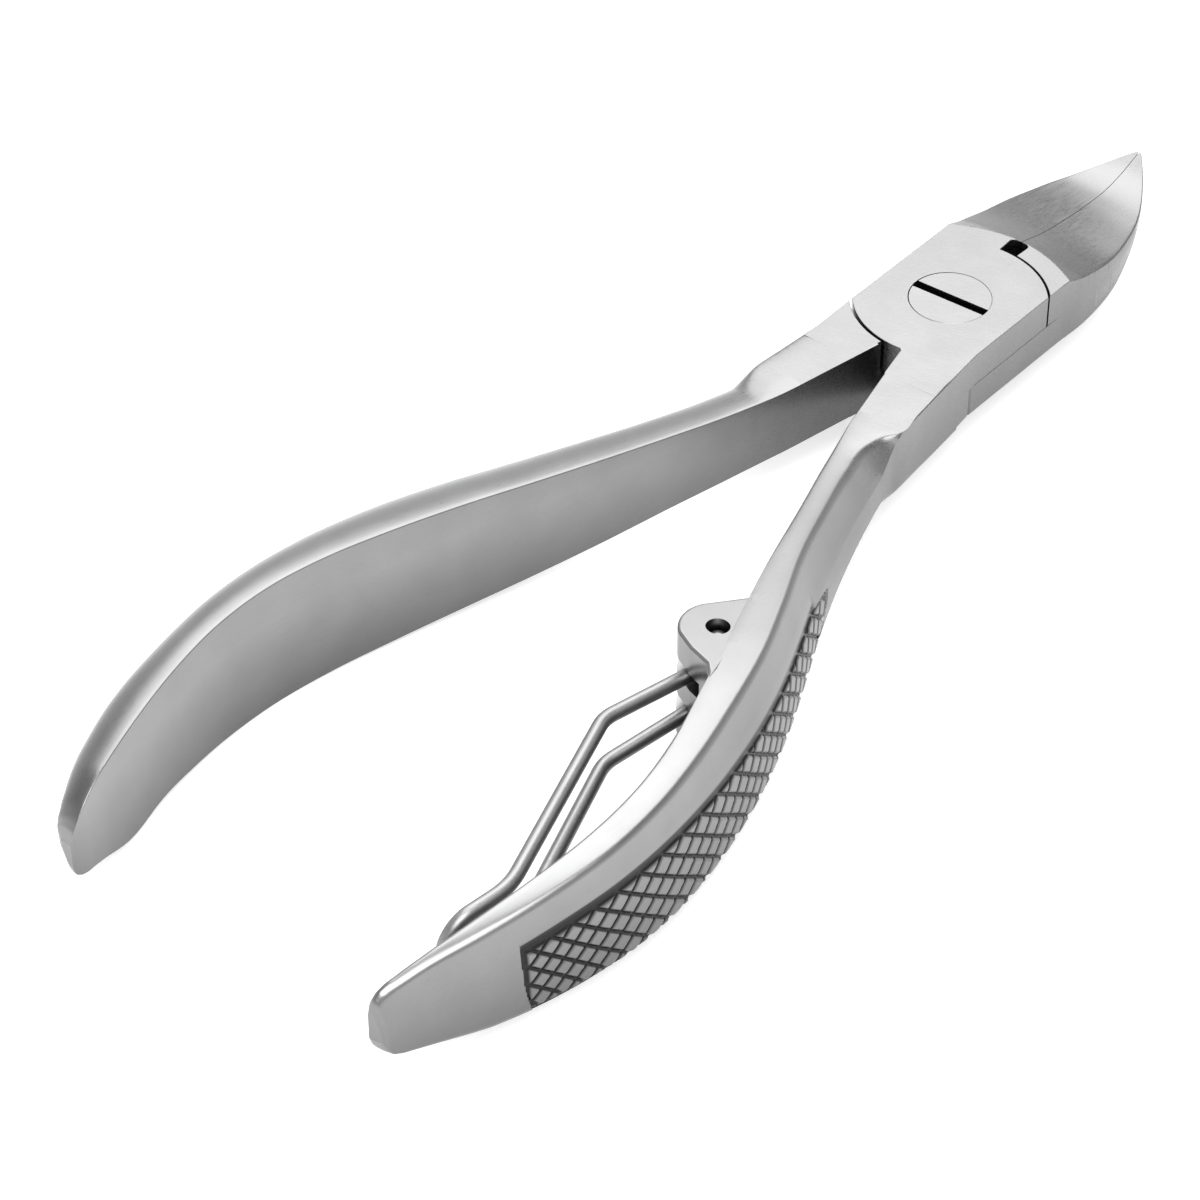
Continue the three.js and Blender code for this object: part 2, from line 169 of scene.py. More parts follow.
# The top of the outer face: [y, how far it lies inside the face, how far it lies lower]
LEANING = [
    (-98, 0.1, 0.1), (-90, 0.3, 0.3), (-83, 0.4, 0.42), (-72, 0.5, 0.7), (-58, 0.5, 1.1),
    (-45, 0.45, 1.4), (-36, 0.35, 1.1), (-26, 0.15, 0.4), (-18, 0, 0), (-9, 0, 0),
]


# ---- small geometry helpers ----
def curve(rows, column, at):
    """Smooth curve through rows against their first column, which rises or falls."""
    rows = sorted(rows)
    xs = np.array([row[0] for row in rows], float)
    vs = np.array([row[column] for row in rows], float)
    at = np.clip(np.asarray(at, float), xs[0], xs[-1])
    slopes = np.gradient(vs, xs)
    k = np.clip(np.searchsorted(xs, at) - 1, 0, len(xs) - 2)
    step = xs[k + 1] - xs[k]
    u = (at - xs[k]) / step
    return (vs[k] * (1 + 2 * u) * (1 - u) ** 2 + step * slopes[k] * u * (1 - u) ** 2
            + vs[k + 1] * u * u * (3 - 2 * u) - step * slopes[k + 1] * u * u * (1 - u))


def smoothstep(low, high, value):
    """0 at low and 1 at high, which may be the smaller one."""
    u = np.clip((value - low) / (high - low), 0, 1)
    return u * u * (3 - 2 * u)


def arc(radius, start, end, count=24, centre=(0, 0)):
    return [(centre[0] + radius * math.cos(a), centre[1] + radius * math.sin(a))
            for a in np.linspace(start, end, count)]


def turned(points, angle):
    c, s = math.cos(angle), math.sin(angle)
    return [(c * x - s * y, s * x + c * y) for x, y in points]


def rounded(points, radii):
    """A closed outline with the named corners rounded: {index: radius}."""
    out = []
    for i, point in enumerate(points):
        if i not in radii:
            out.append(point)
            continue
        here = Vector(point)
        before = (Vector(points[i - 1]) - here).normalized()
        after = (Vector(points[(i + 1) % len(points)]) - here).normalized()
        half = before.angle(after) / 2
        reach = radii[i] / math.tan(half)
        centre = here + (before + after).normalized() * radii[i] / math.sin(half)
        start = here + before * reach - centre
        sweep = start.angle_signed(here + after * reach - centre)
        for u in np.linspace(0, 1, 6):
            spoke = Matrix.Rotation(-sweep * u, 2) @ start
            out.append(tuple(centre + spoke))
    return out


def inset(points, distance):
    """The outline moved inwards; points run counter-clockwise."""
    out = []
    count = len(points)
    for i in range(count):
        here = Vector(points[i])
        a = (here - Vector(points[i - 1]))
        b = (Vector(points[(i + 1) % count]) - here)
        if a.length < 1e-6 or b.length < 1e-6:
            out.append(tuple(here))
            continue
        a.normalize()
        b.normalize()
        normal = Vector((-a.y - b.y, a.x + b.x))
        if normal.length < 0.2:
            normal = Vector((-b.y, b.x))
        normal.normalize()
        scale = max(normal.dot(Vector((-a.y, a.x))), 0.5)
        out.append(tuple(here + normal * distance / scale))
    return out


def area(points):
    xs = np.array([p[0] for p in points])
    ys = np.array([p[1] for p in points])
    return 0.5 * float(np.sum(xs * np.roll(ys, -1) - np.roll(xs, -1) * ys))


def new_object(name, verts, faces):
    mesh = bpy.data.meshes.new(name)
    verts = [tuple(float(c) * MM for c in v) for v in verts]
    mesh.from_pydata(verts, [], [tuple(map(int, f)) for f in faces])
    mesh.validate()
    obj = bpy.data.objects.new(name, mesh)
    bpy.context.scene.collection.objects.link(obj)
    bm = bmesh.new()
    bm.from_mesh(mesh)
    bmesh.ops.remove_doubles(bm, verts=bm.verts, dist=1e-8)
    bmesh.ops.recalc_face_normals(bm, faces=bm.faces)
    if bm.calc_volume(signed=True) < 0:
        bmesh.ops.reverse_faces(bm, faces=bm.faces)
    bm.to_mesh(mesh)
    bm.free()
    return obj


def loft(name, rings, closed=False):
    """A tube of quads through equal rings, capped at both ends unless it is closed."""
    rings = np.asarray(rings, float)
    count, size = rings.shape[:2]
    faces = []
    for r in range(count if closed else count - 1):
        a = r * size
        b = ((r + 1) % count) * size
        for i in range(size):
            j = (i + 1) % size
            faces.append((a + i, a + j, b + j, b + i))
    if not closed:
        faces.append(tuple(range(size)))
        faces.append(tuple(range((count - 1) * size, count * size)))
    return new_object(name, rings.reshape(-1, 3), faces)


def slab(name, outline, low, high, top=0.0, bottom=0.0):
    """A plate with rounded top and bottom edges."""
    if area(outline) < 0:
        outline = outline[::-1]
    levels = [(low, 0)]
    if bottom:
        levels = [(low + bottom * (1 - math.sin(a)), bottom * (1 - math.cos(a)))
                  for a in np.linspace(math.pi / 2, 0, 5)]
    if top:
        levels += [(high - top * (1 - math.sin(a)), top * (1 - math.cos(a)))
                   for a in np.linspace(0, math.pi / 2, 5)]
    else:
        levels.append((high, 0))
    rings = []
    for z, move in levels:
        rings.append([(x, y, z) for x, y in (inset(outline, move) if move else outline)])
    return loft(name, rings)


def boolean(obj, other, operation):
    modifier = obj.modifiers.new("cut", "BOOLEAN")
    modifier.operation = operation
    modifier.solver = "MANIFOLD"
    modifier.object = other
    bpy.context.view_layer.update()
    shown = obj.evaluated_get(bpy.context.evaluated_depsgraph_get())
    mesh = bpy.data.meshes.new_from_object(shown)
    old = obj.data
    obj.modifiers.clear()
    obj.data = mesh
    bpy.data.meshes.remove(old)


def discard(*objs):
    for obj in objs:
        bpy.data.objects.remove(obj, do_unlink=True)


def plus(obj, *others):
    """Joins the others to the first. They are used up."""
    for other in others:
        boolean(obj, other, "UNION")
    discard(*others)


def minus(obj, *others):
    """Cuts the others out of the first. They are used up."""
    for other in others:
        boolean(obj, other, "DIFFERENCE")
    discard(*others)


def soften(obj, angle):
    """Smooth shading, with the edges sharper than the angle kept."""
    bm = bmesh.new()
    bm.from_mesh(obj.data)
    limit = math.radians(angle)
    for face in bm.faces:
        face.smooth = True
    for edge in bm.edges:
        if len(edge.link_faces) != 2 or edge.calc_face_angle(0) > limit:
            edge.smooth = False
    bm.to_mesh(obj.data)
    bm.free()
    weighted = obj.modifiers.new("normals", "WEIGHTED_NORMAL")
    weighted.keep_sharp = True
    weighted.weight = 70
    return obj


def place(obj, body, node):
    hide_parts(node)
    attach(obj, body)
    return obj


# ---- camera: the photograph's view, with the object in its CAD frame ----
AZIMUTH, ELEVATION = math.radians(39.99), math.radians(41.34)
forward = Vector((
    -math.sin(AZIMUTH) * math.cos(ELEVATION),
    math.cos(AZIMUTH) * math.cos(ELEVATION),
    -math.sin(ELEVATION),
))
right = Vector((math.cos(AZIMUTH), math.sin(AZIMUTH), 0))
upward = right.cross(forward)
camera = bpy.data.objects.new("camera", bpy.data.cameras.new("camera"))
bpy.context.scene.collection.objects.link(camera)
camera.data.sensor_width = 36
camera.data.lens = 129
camera.data.clip_start = 0.01
camera.data.clip_end = 20
pivot_top = Vector((0, 0, 6.71)) * MM
from_camera = (right * 31.38 + upward * 27.09 + forward * 385.2) * MM
camera.matrix_world = Matrix.Translation(pivot_top - from_camera) @ Matrix(
    (right, upward, -forward)).transposed().to_4x4()
bpy.context.scene.camera = camera


# ---- jaws and lap joint ----
OUTLINE_END = JAW_OUTLINE[-1][0]
JAW_Y = np.concatenate([np.linspace(8, 28.4, 60), np.linspace(28.6, OUTLINE_END, 10)])


def jaw_half_width(y):
    return curve(JAW_OUTLINE, 1, y)


def hollow_depth(along):
    """It is deepest beyond the middle, and runs out of the steel at both ends."""
    before = 6 * along * (1 - along)
    beyond = 8 * (1 - along)
    inside = curve(HOLLOW_DEPTH, 1, along)
    return np.where(along < 0, before, np.where(along > 1, beyond, inside))


def hollow_height(x, y):
    start, end = HOLLOW
    along = (y - start) / (end - start)
    crown = HOLLOW_CROWN * (1 - 0.7 * np.maximum(along, 0))
    return THICKNESS - HOLLOW_FALL * along - hollow_depth(along) - crown * x ** 2


def underside_height(x, y):
    start, end = RELIEF
    along = np.clip((y - start) / (end - start), 0, 1)
    edge = np.clip((np.abs(x) - jaw_half_width(y) + EDGE_BAND) / EDGE_BAND, 0, 1.5)
    base = np.where(y <= start, -0.5 * (start - y), curve(UNDERSIDE, 1, y))
    raised = base - 0.02 + (0.3 + 1.4 * along) * edge ** 2
    return np.minimum(raised, hollow_height(x, y) - RIM_THICKNESS)


def field_solid(name, height, far, ys, rim):
    """A cutter with one face that follows height(x, y). The face turns away by a small
    round along the jaws' outline, which leaves a fine rim there."""
    direction = 1 if far < 0 else -1
    offsets = np.array([-rim * 1.6, -rim, -rim * 0.45, 0, rim * 0.8, rim * 3, 2.5])
    drop = np.array([0, 0.06, 0.3, 0.85, 2.1, 7, 40]) * rim
    least = 0.021 + 0.001 * np.arange(len(offsets))
    rings = []
    for y in ys:
        w = float(jaw_half_width(min(y, OUTLINE_END)))
        inner = np.linspace(0, max(w - rim * 1.6, 0.02), 22)[:-1]
        xs = np.concatenate([inner, np.maximum(w + offsets, least)])
        drops = np.concatenate([np.zeros(len(inner)), drop])
        xs = np.concatenate([-xs[::-1][:-1], xs])
        drops = np.concatenate([drops[::-1][:-1], drops])
        z = height(xs, np.full(len(xs), y)) + direction * drops
        line = [(x, y, h) for x, h in zip(xs, z)]
        rings.append(line + [(xs[-1], y, far), (xs[0], y, far)])
    return loft(name, rings)


def notch_wall():
    """The notch's edge on the side of the left jaw, from the lap plate up to the seam."""
    return rounded([(-0.9, 8.0), (-0.95, 10.85), (-SEAM, 10.9), (-SEAM, 12)], {1: 0.45})[1:-1]


def jaw_edge():
    """The left jaw's seam and outline, from the notch over the tip and down to y = 8."""
    edge = notch_wall()
    edge += [(-SEAM, y) for y in np.linspace(11.5, TIP_Y - 0.15, 24)]
    edge += [(-SEAM - 0.08, TIP_Y)]
    ys = JAW_Y[::-1]
    return edge + [(-float(w), float(y)) for w, y in zip(jaw_half_width(ys), ys)]


BLOCK_WALL = [(0.95, -9), (1.72, -12.5), (7.0, -12.5), (6.93, -9.5), (6.75, -5.5)]


def block_wall(side):
    """The block's wall from the crotch to the lap plate. Both handles lean the same way
    in the object, so the lower one leans the other way before it is turned over."""
    return turned(BLOCK_WALL, side * LEAN)[:-1] + [(HALF_WIDTH, -5.2)]


def wall_angle(radius):
    return math.acos(HALF_WIDTH / radius)


def lap_layer(side):
    """The half's layer with the round lap plate in it, seen with its handle at +X."""
    turn = wall_angle(LAP_RADIUS)
    outline = jaw_edge()
    outline += [(-HALF_WIDTH, y) for y in (6, 3, 0, -3)]
    outline += arc(LAP_RADIUS, math.pi + turn, math.radians(276.3), 40)
    outline += block_wall(side)
    outline += [(HALF_WIDTH, y) for y in (-3, 0, 3)]
    outline += arc(LAP_RADIUS, turn, math.radians(95.6), 44)
    return outline


def outer_layer(side):
    """The two pieces of the half's other layer, outside the other half's lap plate."""
    front_radius = LAP_RADIUS + LAP_GAP * 0.8
    front = jaw_edge()
    front += arc(front_radius, math.pi - wall_angle(LAP_RADIUS + LAP_GAP), math.radians(95.6), 40)
    rear_radius = LAP_RADIUS + LAP_GAP * 1.2
    rear = arc(rear_radius, -wall_angle(rear_radius), math.radians(-84.2), 40)
    rear += block_wall(side)[1:-1]
    return front, rear


def top_slab(name, points, low, high):
    """A layer with a fine edge round its top, but none where the handle goes on."""
    rings = [[(x, y, low) for x, y in points]]
    for a in np.linspace(0, math.pi / 2, 5):
        moved = inset(points, TOP_EDGE * (1 - math.cos(a)))
        z = high - TOP_EDGE * (1 - math.sin(a))
        rings.append([(*(here if here[1] < -12 and abs(here[0]) > 1 else there), z)
                      for here, there in zip(points, moved)])
    return loft(name, rings)


def bottom_slab(name, points, low, high):
    """A layer with its outer walls rounded at the bottom."""
    rings = []
    for a in np.linspace(0, math.pi / 2, 6):
        depth = BOTTOM_EDGE * (1 - math.sin(a))
        z = low + BOTTOM_EDGE * (1 - math.cos(a))
        ring = []
        for (x, y), moved in zip(points, inset(points, depth)):
            on_side_wall = abs(x) > 6.6 and y > -11
            on_jaw = y > 11.5 and abs(x) > 0.3
            if on_side_wall and abs(y) < 8:
                ring.append((math.copysign(abs(x) - depth, x), y, z))
            elif on_side_wall or on_jaw:
                ring.append((*moved, z))
            else:
                ring.append((x, y, z))
        rings.append(ring)
    rings.append([(x, y, high) for x, y in points])
    return loft(name, rings)


def layer(name, outline, side, upper):
    """One layer of a half, from the lap plane up or from the lap plane down."""
    points = [(side * x, y) for x, y in outline]
    if area(points) < 0:
        points = points[::-1]
    gap = side * LAP_PLANE_GAP / 2
    if upper:
        return top_slab(name, points, MID + gap, THICKNESS)
    return bottom_slab(name, points, 0, MID + gap)


# ---- handles ----
FACE_FIRST = 20         # index of the outer face's first point in a section
FACE_POINTS = 92
FACE_LAST = FACE_FIRST + FACE_POINTS - 1


def handle_section(y, thickness, height, top, soft_round, sharp):
    """Half round the section from the inner face over the top and down the outer face.
    Each point is (out, height from the middle). Sharp, from 0 to 1, makes the inner edges
    sharper."""
    half = height / 2
    blend = float(smoothstep(-19.4, -25, y))
    soft = min(0.1 + 0.22 * blend, thickness * 0.25) * (1 - 0.9 * sharp)
    fall = 0.01 + 0.29 * blend
    bevel = 0.1 + (min(3.2, half * 0.75) - 0.1) * float(smoothstep(-19.2, -23.5, y))
    inward, lower = float(curve(LEANING, 1, y)), float(curve(LEANING, 2, y))
    corner = Vector((top, half - fall))
    end = Vector((thickness - inward, half - bevel - lower))
    ridge = min(0.55, 0.42 * (end - corner).length, 0.4 * (top - soft))
    before = Vector((top - ridge, half - fall * (1 - ridge / (top - soft)) ** 1.5))
    after = corner.lerp(end, ridge / (end - corner).length)
    quarter = np.linspace(0, math.pi / 2, 6)
    # the inner edge and the top
    points = [(soft * (1 - math.cos(a)), half - soft * (1 - math.sin(a))) for a in quarter]
    points += [(soft + (before.x - soft) * u, half - (half - before.y) * u ** 1.5)
               for u in (0.35, 0.7)]
    # the ridge and the bevel
    points += [tuple(before * (1 - u) ** 2 + corner * 2 * u * (1 - u) + after * u * u)
               for u in np.linspace(0, 1, 9)]
    points += [tuple(after.lerp(end, u)) for u in (0.25, 0.5, 0.75)]
    # the outer face
    low = soft_round - half
    for u in np.linspace(0, 1, FACE_POINTS):
        points.append((thickness - inward * (1 - u) ** 2, end.y + (low - end.y) * u))
    # the outer edge at the bottom, and the inner one
    wide = thickness - soft
    oval = 2 / (6 - 4 * float(smoothstep(-19.4, -23, y)))
    for a in np.linspace(0, math.pi / 2, 17)[1:-1]:
        points.append((thickness - (1 - math.cos(a) ** oval) * wide,
                       low - soft_round * math.sin(a) ** oval))
    points += [(soft * (1 - math.sin(a)), -half + soft * (1 - math.cos(a))) for a in quarter]
    return np.array(points)


def panel_edges(y, upper, lower, past):
    """Upper and lower edge of the grip pattern on the outer face, from the section's middle.
    It runs past the lower edge of the face by the last value."""
    opening = float(np.clip((PANEL_FRONT - y) / 4.5, 0, 1)) ** 0.6
    closing = float(np.clip((y - PANEL_REAR) / 0.9, 0, 1)) ** 0.5
    point = upper - POINT * (upper - lower)
    return (point + (upper - point + 0.05) * opening,
            point - (point - lower + past) * opening * closing)


def groove_depth(y, z, pitch, phase, past):
    """How deep each point of a section lies in the grooves and the border, from 0 to 1."""
    upper, lower = panel_edges(y, z[FACE_FIRST], z[FACE_LAST], past)
    inside = np.minimum(upper - z, z - lower)
    inside[:FACE_FIRST - 3] = -9
    inside[FACE_LAST + 7:] = -9
    groove = np.zeros(len(z))
    for sign in (-1, 1):
        across = math.sin(GROOVE_ANGLE) * phase + sign * math.cos(GROOVE_ANGLE) * z / pitch
        distance = np.abs(across - np.round(across)) * pitch
        groove = np.maximum(groove, 1 - distance / (GROOVE_WIDTH / 2))
    # the border widens towards the rear, and closes the panel at both ends; its black is painted
    # shade of its step
    wide = 0.2 + 0.45 * float(smoothstep(-58, -84, y))
    border = np.where(inside > 0, 1.5 - inside / wide, 1 + inside / 0.1)
    to_end = min(y - BORDER_REAR, BORDER_FRONT - y)
    across_end = 1.3 - abs(to_end - 0.25) / 0.45
    border = np.maximum(border, np.where(inside > 0, across_end, -1))
    groove = np.where(inside > 0, np.maximum(groove, border), border)
    return np.clip(groove, 0, 1) * (1.0 if to_end > 0 else 0.0)


def end_shape(y, z, height, turned_over):
    """The section's heights, fuller or drawn in towards the handle's end."""
    if turned_over:
        swell = FAR_SWELL * math.exp(-(((y + 89.5) / 3.6) ** 2))
        lift = FAR_DRAWN_IN * min(max((-92.5 - y) / 5.2, 0), 1) ** 2
    else:
        swell = 0
        lift = NEAR_DRAWN_IN * min(max((-88 - y) / 9.7, 0), 1)
    return np.where(z > 0, z * (1 + 2 * swell / height), z * (1 - 2 * lift / height))


def stand(out, z, y, inner, slope, turned_over):
    """Places a section square to the handle's bow, in the object's frame."""
    length = math.hypot(1, slope)
    outward = (1 / length, -slope / length)
    xs = inner + outward[0] * out
    ys = y + outward[1] * out
    lean = -LEAN if turned_over else LEAN
    c, s = math.cos(lean), math.sin(lean)
    x, y, z = c * xs - s * ys, s * xs + c * ys, MID + z
    if turned_over:
        x, z = -x, THICKNESS - z
    return np.stack([x, y, z], axis=1)


def handle(name, turned_over):
    """A handle, its points and how deep each of them lies in the grip's grooves."""
    ys = np.concatenate([
        np.linspace(-9.5, -18, 12),
        np.linspace(-18.3, -35.4, 90),
        np.arange(-35.5, -86.0, -0.1),      # fine over the grip
        np.linspace(-86.1, -95, 24),
        np.linspace(-95.2, -97, 10),
        -97.7 + 0.6 * np.linspace(1, 0, 12) ** 2,
    ])
    columns = [curve(STATIONS, c, ys) for c in range(1, 6)]
    slope = np.gradient(columns[0], ys)
    steps = np.hypot(np.diff(ys), np.diff(columns[0]))
    travel = np.concatenate([[0], np.cumsum(steps)])
    rings, dark, phase = [], [], 0.0
    for i, y in enumerate(ys):
        inner, thickness, height, top, soft_round = (float(c[i]) for c in columns)
        if turned_over:
            soft_round = 0.25 + (soft_round - 0.25) * float(smoothstep(-19, -23, y))
            thickness += FAR_THICKER * float(smoothstep(-76, -88, y) * smoothstep(-97.5, -91, y))
            sharp, past = 0.8, -0.3
        else:
            # sharp where the lug joins
            sharp = float(smoothstep(-34, -43.5, y) * smoothstep(-66, -56.5, y))
            past = 0.95
        section = handle_section(y, thickness, height, top, soft_round, sharp)
        pitch = GROOVE_PITCH - NARROWING * float(smoothstep(-70, -86, y))
        phase += (travel[i] - travel[i - 1]) / pitch if i else 0
        groove = groove_depth(y, section[:, 1], pitch, phase, past)
        out = section[:, 0] - GROOVE_DEPTH * np.minimum(groove * 1.3, 1)
        z = end_shape(y, section[:, 1], height, turned_over)
        rings.append(stand(out, z, y, inner, slope[i], turned_over))
        dark.append(groove)
    return loft(name, rings), np.concatenate(rings), np.concatenate(dark)


def paint_grip(obj, points, dark):
    """Keeps how deep each point lies in the grip's grooves and border, for the black fill of the
    grooves and the painted shade along the border.
    """
    tree = KDTree(len(points))
    for k, point in enumerate(points):
        tree.insert(Vector(point) * MM, k)
    tree.balance()
    attribute = obj.data.attributes.new("groove", "FLOAT", "POINT")
    values = np.zeros(len(obj.data.vertices), np.float32)
    for v in obj.data.vertices:
        if v.co.y < -0.037:
            _, k, gap = tree.find(v.co)
            if gap < 2e-5:
                values[v.index] = dark[k]
    attribute.data.foreach_set("value", values)


def disc_solid(name, radius, low, high, centre=(0, 0), count=96):
    return slab(name, arc(radius, 0, 2 * math.pi * (1 - 1 / count), count, centre), low, high)


def lug_outline():
    points = [(11.5, -44.2), (11.6, -45.3)]
    points += arc(LUG_RADIUS, math.pi - 0.54, math.pi + 0.95, 22, PIN)
    # from here on inside the handle
    points += [(12, -53.85), (14.2, -54.5), (15, -55.4), (15.6, -56.1)]
    points += [(15.4, -54.5), (13.85, -50), (12.4, -46)]
    return points


def lug_body():
    """The lug's two end faces run level with the handle's top and bottom beside it."""
    lug = slab("lug", lug_outline(), MID - LUG_HALF, MID + LUG_HALF, top=LUG_EDGE, bottom=LUG_EDGE)
    for v in lug.data.vertices:
        share = (v.co.z / MM - MID) / LUG_HALF
        half = LUG_FRONT_HALF + (LUG_FRONT - v.co.y / MM) * LUG_GROWTH
        v.co.z = (MID + share * half) * MM
    lug.data.transform(Matrix.Rotation(LEAN, 4, "Z"))
    return lug


def lug_cuts():
    """The pin's hole, and a slot for each eye with room for the arm to swing."""
    cuts = [disc_solid("cut", PIN_HOLE, -10, 20, PIN, 48)]
    reach = EYE_RADIUS + WIRE_RADIUS + SLOT_PLAY
    x, y = PIN
    open_side = [(x - 10, y - 12), (x, y - 12), (x, y + reach), (x - 10, y + reach)]
    behind = [(x - 1, y - 12), (x + 1.2, y - 12), (x + 1.2, y), (x - 1, y)]
    for side in (-1, 1):
        low = MID + side * ARM_RISE - WIRE_RADIUS - SLOT_PLAY
        high = MID + side * ARM_RISE + WIRE_RADIUS + SLOT_PLAY
        cuts.append(disc_solid("cut", reach, low, high, PIN, 64))
        cuts.append(slab("cut", open_side, low, high))
        cuts.append(slab("cut", behind, low, high))
    for cut in cuts:
        cut.data.transform(Matrix.Rotation(LEAN, 4, "Z"))
    return cuts


def forging(name, side):
    """One half: side +1 is the upper one, with its handle at +X, and -1 the lower one."""
    front, rear = outer_layer(side)
    body = layer("lap", lap_layer(side), side, side > 0)
    plus(body, layer("front", front, side, side < 0), layer("rear", rear, side, side < 0))
    hollow_ys, relief_ys = np.linspace(7, 31.5, 90), np.linspace(9, 31.5, 70)
    minus(
        body,
        field_solid("hollow", hollow_height, THICKNESS + 6, hollow_ys, 0.1),
        field_solid("relief", underside_height, -8, relief_ys, 0.08),
        disc_solid("hole", SHANK_HOLE, -1, THICKNESS + 1),
    )
    if side > 0:
        floor_of_bore = THICKNESS - HEAD_DEPTH - 0.03
        minus(body, disc_solid("bore", HEAD_RADIUS + BORE_PLAY, floor_of_bore, THICKNESS + 1,
                               BORE_SHIFT, 160))
    grip, points, dark = handle(name + "_grip", side < 0)
    plus(body, grip)
    if side > 0:
        plus(body, lug_body())
        minus(body, *lug_cuts())
    body.name = name
    paint_grip(body, points, dark)
    return soften(body, 32)


upper = forging("upper_half_steel", 1)
lower = forging("lower_half_steel", -1)
place(upper, "upper_half", "upper_half")
place(lower, "lower_half", "lower_half")


# ---- pivot screw ----
def lathe(name, profile, count=120):
    angles = np.arange(count) * 2 * math.pi / count
    rings = [[(r * math.cos(a), r * math.sin(a), z) for a in angles] for r, z in profile]
    return loft(name, rings)


def pivot_screw():
    top = THICKNESS - HEAD_SUNK
    under_head = THICKNESS - HEAD_DEPTH
    profile = [
        (1.75, 0.02), (2.0, 0.12), (SHANK_RADIUS, 0.35), (SHANK_RADIUS, under_head),
        (3.7, under_head), (HEAD_RADIUS, THICKNESS - 1.56), (HEAD_RADIUS, top - 0.03),
        (HEAD_RADIUS - 0.03, top), (2.6, top), (1.2, top), (0.3, top),
    ]
    screw = lathe("pivot_screw_steel", profile)
    # the slot is a little wider at one end
    outline = [(-5, -SLOT_HALF - 0.06), (-3.2, -SLOT_HALF), (5, -SLOT_HALF),
               (5, SLOT_HALF), (-3.2, SLOT_HALF), (-5, SLOT_HALF + 0.06)]
    slot = slab("slot", outline, THICKNESS - SLOT_DEPTH, THICKNESS + 1)
    slot.data.transform(Matrix.Rotation(SLOT_TURN, 4, "Z"))
    minus(screw, slot)
    return soften(screw, 25)


screw = place(pivot_screw(), "lower_half", "pivot_screw")


# ---- spring pin and wire spring ----
def spring_pin():
    half = LUG_HALF - PIN_RECESS
    end = [(0.2, 0), (0.5, 0.08), (0.7, 0.22), (PIN_RADIUS, 0.45)]
    profile = [(r, MID - half + fall) for r, fall in end]
    profile += [(r, MID + half - fall) for r, fall in end[::-1]]
    pin = lathe("spring_pin_steel", profile, 40)
    pin.data.transform(Matrix.Translation(Vector((*PIN, 0)) * MM))
    pin.data.transform(Matrix.Rotation(LEAN, 4, "Z"))
    return soften(pin, 40)


def tube(name, path, radius, sides=24, closed=False):
    """A round wire along the path."""
    path = [Vector(p) for p in path]
    count = len(path)
    rings = []
    side = None
    for i, point in enumerate(path):
        ahead = path[(i + 1) % count] if closed or i + 1 < count else point
        behind = path[i - 1] if closed or i else point
        along = (ahead - behind).normalized()
        if side is None:
            side = along.cross(Vector((0, 0, 1))).normalized()
        side = (side - along * side.dot(along)).normalized()
        up = side.cross(along)
        rings.append([tuple(point + radius * (side * math.cos(a) + up * math.sin(a)))
                      for a in np.arange(sides) * 2 * math.pi / sides])
    return loft(name, rings, closed)


def wire_path():
    """From one eye along its arm, round the foot and back along the other arm."""
    knee, heel, foot = Vector(KNEE), Vector(HEEL), Vector(FOOT)
    towards = Vector((knee.x - PIN[0], knee.y - PIN[1])).normalized()
    start = Vector((PIN[0] + towards.x * EYE_RADIUS, PIN[1] + towards.y * EYE_RADIUS, ARM_RISE))
    arm = [start, knee, heel, foot]
    points = [start.lerp(knee, u) for u in (0, 0.3, 0.6)]
    for c, reach in ((1, KNEE_REACH), (2, HEEL_REACH)):
        before = arm[c].lerp(arm[c - 1], reach / (arm[c] - arm[c - 1]).length)
        after = arm[c].lerp(arm[c + 1], reach / (arm[c] - arm[c + 1]).length)
        for u in np.linspace(0, 1, 12):
            points.append(before * (1 - u) ** 2 + arm[c] * 2 * u * (1 - u) + after * u * u)
    along = (foot - heel)
    along.z = 0
    along.normalize()
    for a in np.linspace(0, math.pi / 2, 14):
        points.append(Vector((foot.x, foot.y, 0)) + along * FOOT_RISE * math.sin(a)
                      + Vector((0, 0, FOOT_RISE * math.cos(a))))
    mirrored = [Vector((p.x, p.y, -p.z)) for p in points[:-1][::-1]]
    return [p + Vector((0, 0, MID)) for p in points + mirrored]


def wire_spring():
    body = tube("wire_spring_steel", wire_path(), WIRE_RADIUS)
    for side in (-1, 1):
        circle = [(PIN[0] + EYE_RADIUS * math.cos(a), PIN[1] + EYE_RADIUS * math.sin(a),
                   MID + side * ARM_RISE) for a in np.arange(72) * 2 * math.pi / 72]
        plus(body, tube("eye", circle, WIRE_RADIUS, closed=True))
    body.data.transform(Matrix.Rotation(LEAN, 4, "Z"))
    return soften(body, 50)


pin = place(spring_pin(), "upper_half", "spring_pin")
wire = place(wire_spring(), "wire_spring", "wire_spring")


# ---- materials ----
BRUSH_LENGTH, BRUSH_WIDTH = 0.004, 0.00011      # of the brush lines, in metres
BRUSH = (BRUSH_LENGTH, BRUSH_WIDTH, BRUSH_WIDTH)
MOTTLE = (0.004, 0.004, 0.004)
# black of the grooves, also used as painted shade along the grip's border
GROOVE_FILL_AND_BORDER_SHADE = (0.03, 0.03, 0.031, 1)


